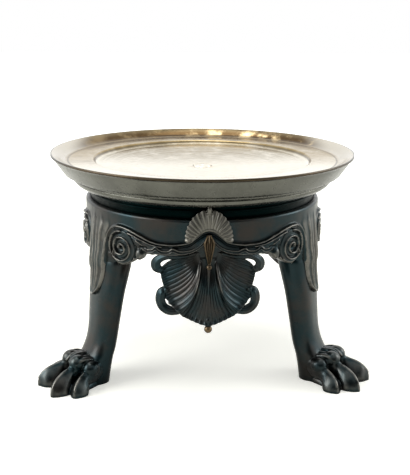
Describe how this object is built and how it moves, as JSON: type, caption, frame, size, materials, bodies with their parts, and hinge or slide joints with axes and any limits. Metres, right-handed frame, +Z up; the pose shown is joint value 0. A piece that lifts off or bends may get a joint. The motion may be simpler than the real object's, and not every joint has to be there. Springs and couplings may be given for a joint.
{
  "type": "tripod stand",
  "caption": "Low round dish on a ring collar with a scalloped apron, lion-paw legs, and ribbed fans with hanging shells between the legs.",
  "frame": {"origin": "middle of the flat top of the centre screw's head, in the floor of the dish, on the upright axis; the floor is 107.8 mm below it", "axes": "+Z up along the axis of the dish; -Y to the front, through the middle of the front shell; the back leg stands along +Y"},
  "size_m": [0.1748, 0.1758, 0.116],
  "materials": {
    "dark_bronze": "dark brown-black patina, satin gloss",
    "polished_bronze": "polished golden bronze inside the dish, brown patina outside",
    "worn_bronze": "patina rubbed through to copper brown",
    "steel": "plain"
  },
  "bodies": {
    "root": {"dish": "polished_bronze", "centre_screw": "polished_bronze", "bridge": "dark_bronze", "bridge_washer": "steel", "bridge_nut": "steel", "collar": "dark_bronze", "leg_back": "dark_bronze", "tie_screw_back": "steel", "leg_front_left": "dark_bronze", "tie_screw_front_left": "steel", "leg_front_right": "dark_bronze", "tie_screw_front_right": "steel", "fan_front": "dark_bronze", "fan_pin_front": "steel", "shell_front": "dark_bronze", "shell_pin_front": "steel", "drop_front": "worn_bronze", "end_ball_front": "worn_bronze", "fan_right": "dark_bronze", "fan_pin_right": "steel", "shell_right": "dark_bronze", "shell_pin_right": "steel", "drop_right": "worn_bronze", "end_ball_right": "worn_bronze", "fan_left": "dark_bronze", "fan_pin_left": "steel", "shell_left": "dark_bronze", "shell_pin_left": "steel", "drop_left": "worn_bronze", "end_ball_left": "worn_bronze"}
  },
  "joints": []
}
